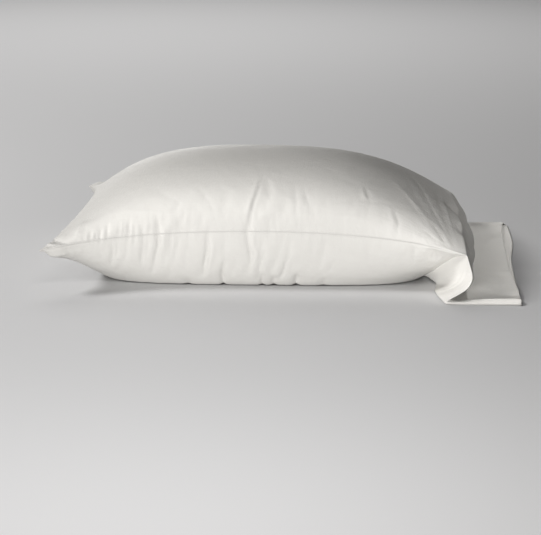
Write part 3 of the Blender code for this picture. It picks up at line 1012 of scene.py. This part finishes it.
def cotton_shader(name, roughness):
    material = bpy.data.materials.new(name)
    material.use_nodes = True
    shader = material.node_tree.nodes["Principled BSDF"].inputs
    shader["Roughness"].default_value = roughness
    shader["Sheen Weight"].default_value = SHEEN
    shader["Sheen Roughness"].default_value = SHEEN_ROUGHNESS
    shader["Specular IOR Level"].default_value = SHINE
    return material, material.node_tree, shader


def finish_shader(tree, shader, tones, heights):
    """Multiplies the tones into the base colour and adds the heights into one bump."""
    tone = functools.reduce(lambda a, b: math_node(tree, "MULTIPLY", a, b), tones)
    shade = tree.nodes.new("ShaderNodeVectorMath")
    shade.operation = "SCALE"
    shade.inputs[0].default_value = COTTON
    tree.links.new(tone, shade.inputs["Scale"])
    tree.links.new(shade.outputs[0], shader["Base Color"])
    bump = tree.nodes.new("ShaderNodeBump")
    bump.inputs["Distance"].default_value = 1.0
    height = functools.reduce(lambda a, b: math_node(tree, "ADD", a, b), heights)
    tree.links.new(height, bump.inputs["Height"])
    tree.links.new(bump.outputs["Normal"], shader["Normal"])


threads, crumple = threads_group(), crumple_group()
in_front = coordinates(case_mesh)[:, 1] < 0
front_corner = (np.abs(along - RIGHT_END) < END_REACH) & (from_side < SEAM_REACH) & in_front
CORNER = float(from_mouth[front_corner].mean())
puckers = pucker_group(CORNER)


def white_cotton():
    material, tree, shader = cotton_shader("white cotton", CLOTH_ROUGHNESS)
    weave = tree.nodes.new("ShaderNodeUVMap")
    weave.uv_map = "weave"
    above_seam = tree.nodes.new("ShaderNodeAttribute")
    above_seam.attribute_name = "above_seam"
    solid = tree.nodes.new("ShaderNodeTexCoord").outputs["Object"]
    yarns = placed(tree, threads, weave.outputs["UV"])
    dents = placed(tree, crumple, solid)
    folds = placed(tree, crumple, solid, Size=FOLD_SIZE, Depth=FOLD_DEPTH)
    ripples = placed(tree, puckers, weave.outputs["UV"], Above_Seam=above_seam.outputs["Fac"])
    heights = [group["Height"] for group in (yarns, dents, folds, ripples)]
    # the dents' and the seam's tones are painted shade; the yarns' tone is the cloth's own
    finish_shader(tree, shader, [yarns["Tone"], dents["Tone"], ripples["Tone"]], heights)
    return material


def sewing_thread():
    material, tree, shader = cotton_shader("white sewing thread", THREAD_ROUGHNESS)
    solid = tree.nodes.new("ShaderNodeTexCoord").outputs["Object"]
    yarns = placed(tree, threads, solid, Pitch=THREAD_PITCH, Uneven=THREAD_UNEVEN)
    finish_shader(tree, shader, [yarns["Tone"]], [yarns["Height"]])
    return material


case_mesh.materials.append(white_cotton())
case_mesh.shade_smooth()
stitch_mesh.materials.append(sewing_thread())
stitch_mesh.shade_smooth()
print("the corner lies", round(CORNER, 3), "m from the mouth")

# %% [markdown]
# ## The surface
#
# The pillow lies on a plain pale surface. It is one wide square, because from a camera that looks down on
# the pillow a wide floor fills the picture up to its upper edge, and no wall gets in the way when the pillow
# is looked at from behind.
#
# A floor as pale as this one throws so much light back up that the underside of a white pillow loses its
# shade. A studio would lay dark card just outside the picture. Here the material itself does that: Light
# Path says whether the camera sees the floor, and for every other ray the floor is a dark grey. The trick
# stays on the floor, and the cotton knows nothing of it.

# %% Pale floor
FLOOR_SIZE = 40.0
FLOOR_DROP = 0.0004  # keeps the floor just under the cloth
FLOOR_COLOR = (0.80, 0.805, 0.82, 1.0)
BOUNCE_COLOR = (0.22, 0.22, 0.22, 1.0)  # what every ray but the camera's meets
FLOOR_ROUGHNESS = 0.9


def pale_paper():
    material = bpy.data.materials.new("pale paper")
    material.use_nodes = True
    tree = material.node_tree
    shader = tree.nodes["Principled BSDF"]
    seen = tree.nodes.new("ShaderNodeMix")
    seen.data_type = "RGBA"
    ray = tree.nodes.new("ShaderNodeLightPath")
    tree.links.new(ray.outputs["Is Camera Ray"], seen.inputs["Factor"])
    unseen_color, seen_color, mixed_color = seen.inputs[6], seen.inputs[7], seen.outputs[2]
    unseen_color.default_value, seen_color.default_value = BOUNCE_COLOR, FLOOR_COLOR
    tree.links.new(mixed_color, shader.inputs["Base Color"])
    shader.inputs["Roughness"].default_value = FLOOR_ROUGHNESS
    return material


bm = bmesh.new()
bmesh.ops.create_grid(bm, x_segments=1, y_segments=1, size=FLOOR_SIZE / 2)
bmesh.ops.translate(bm, verts=bm.verts, vec=(0.0, 0.0, -FLOOR_DROP))
floor_mesh = bpy.data.meshes.new("pale_floor")
bm.to_mesh(floor_mesh)
bm.free()
floor_mesh.materials.append(pale_paper())
floor = bpy.data.objects.new("pale_floor", floor_mesh)
bpy.context.scene.collection.objects.link(floor)
print("floor", FLOOR_SIZE, "m square")

# %% [markdown]
# ## The camera
#
# The camera repeats the viewing angle of a product picture: a long lens, a little above the pillow and
# almost square to its front seam.

# %% Camera
CAMERA_PLACE = (0.1113, -2.4685, 0.6008)  # in the pillow's frame
CAMERA_TURN = math.radians(2.41)
CAMERA_DIP = math.radians(13.96)
LENS_IN_PIXELS = 1621.6
IMAGE_WIDTH = 541
camera_data = bpy.data.cameras.new("camera")
camera_data.lens = camera_data.sensor_width * LENS_IN_PIXELS / IMAGE_WIDTH
camera = bpy.data.objects.new("camera", camera_data)
camera.location = Vector(CAMERA_PLACE) + TO_SOLID
camera.rotation_euler = (math.pi / 2 - CAMERA_DIP, 0.0, CAMERA_TURN)
bpy.context.scene.collection.objects.link(camera)
bpy.context.scene.camera = camera
print("lens", round(camera_data.lens, 1), "mm")

# %% [markdown]
# ## The light
#
# White cloth only shows its form where the light leaves some of it darker. Two soft lights do that: one that
# stands low in front, so that the front is bright and the crown turns away from it, and one high on the
# left, so that the shade deepens towards the right shoulder. A low one behind keeps the back from going
# black. Lights so low would also draw bright pools on the floor, so light linking lets them reach the cloth
# alone, and two lamps over the floor light nothing else: a wide one far behind the pillow, a small one in
# front. Only the left light shines on both, which gives the pillow its shadow.
#
# The empty end lies in the pillow's own shade. A spot straight above brightens it, and the edge of its cone
# passes just beside the pillow's shoulder, which has to stay dark.

# %% Lights
AIM = Vector((0.0, 0.0, 0.09))  # in the pillow's frame
WARM_WHITE = (1.0, 0.985, 0.965)
# turn and height are angles in degrees, seen from the pillow; 0 is in front of it and level with it
SoftLight = namedtuple("SoftLight", "name turn height distance size power")
SOFT_LIGHTS = (
    SoftLight("front light", -12, 4, 3.4, 0.35, 92.0),
    SoftLight("left light", -84, 41, 3.0, 0.9, 48.0),
    SoftLight("back light", 190, 2, 3.5, 1.0, 52.0),
)
FloorLight = namedtuple("FloorLight", "name place size power")
FLOOR_LIGHTS = (
    FloorLight("far floor light", Vector((-0.9, 3.8, 2.8)), 4.2, 80.0),
    FloorLight("near floor light", Vector((-0.02, -1.15, 0.8)), 0.5, 3.7),
)


def soft_light(name, place, aim, size, power):
    data = bpy.data.lights.new(name, "AREA")
    data.shape = "DISK"
    data.size, data.energy, data.color = size, power, WARM_WHITE
    lamp = bpy.data.objects.new(name, data)
    lamp.location = place + TO_SOLID
    lamp.rotation_euler = (aim - place).to_track_quat("-Z", "Y").to_euler()
    lamp.visible_camera = False
    bpy.context.scene.collection.objects.link(lamp)
    return lamp


def receivers(name, *pieces):
    collection = bpy.data.collections.new(name)
    for piece in pieces:
        collection.objects.link(piece)
    return collection


only_cloth, only_floor = receivers("only cloth", case, stitches), receivers("only floor", floor)
for light in SOFT_LIGHTS:
    turn, height = math.radians(light.turn), math.radians(light.height)
    away = Vector((math.sin(turn), -math.cos(turn), math.tan(height))).normalized()
    lamp = soft_light(light.name, AIM + light.distance * away, AIM, light.size, light.power)
    if light.name != "left light":
        lamp.light_linking.receiver_collection = only_cloth
for light in FLOOR_LIGHTS:
    below = light.place - Vector((0.0, 0.0, 1.0))
    lamp = soft_light(light.name, light.place, below, light.size, light.power)
    lamp.light_linking.receiver_collection = only_floor

# %% The spot over the empty end
END_PLACE = Vector((0.95, 0.0, 2.0))  # in the pillow's frame
END_BEAM, END_EDGE = math.radians(37.6), 0.25  # its whole cone, and the soft share of that
END_POWER, END_LAMP = 130.0, 0.2
end_data = bpy.data.lights.new("end light", "SPOT")
end_data.spot_size, end_data.spot_blend = END_BEAM, END_EDGE
end_data.shadow_soft_size, end_data.energy, end_data.color = END_LAMP, END_POWER, WARM_WHITE
end_light = bpy.data.objects.new("end light", end_data)
end_light.location = END_PLACE + TO_SOLID
end_light.light_linking.receiver_collection = only_cloth
bpy.context.scene.collection.objects.link(end_light)

# %% A faint sky
SKY_COLOR = (1.0, 0.965, 0.92, 1.0)
SKY_STRENGTH = 0.015
world = bpy.data.worlds.new("studio")
world.use_nodes = True
sky = world.node_tree.nodes["Background"]
sky.inputs["Color"].default_value = SKY_COLOR
sky.inputs["Strength"].default_value = SKY_STRENGTH
bpy.context.scene.world = world
bpy.context.scene.view_settings.view_transform = "Standard"
print(len(SOFT_LIGHTS) + len(FLOOR_LIGHTS) + 1, "lights and a faint sky")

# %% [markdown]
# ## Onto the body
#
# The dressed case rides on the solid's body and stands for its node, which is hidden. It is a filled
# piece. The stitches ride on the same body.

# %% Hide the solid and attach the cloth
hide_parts("pillowcase")
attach(case, "root")
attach(stitches, "root")
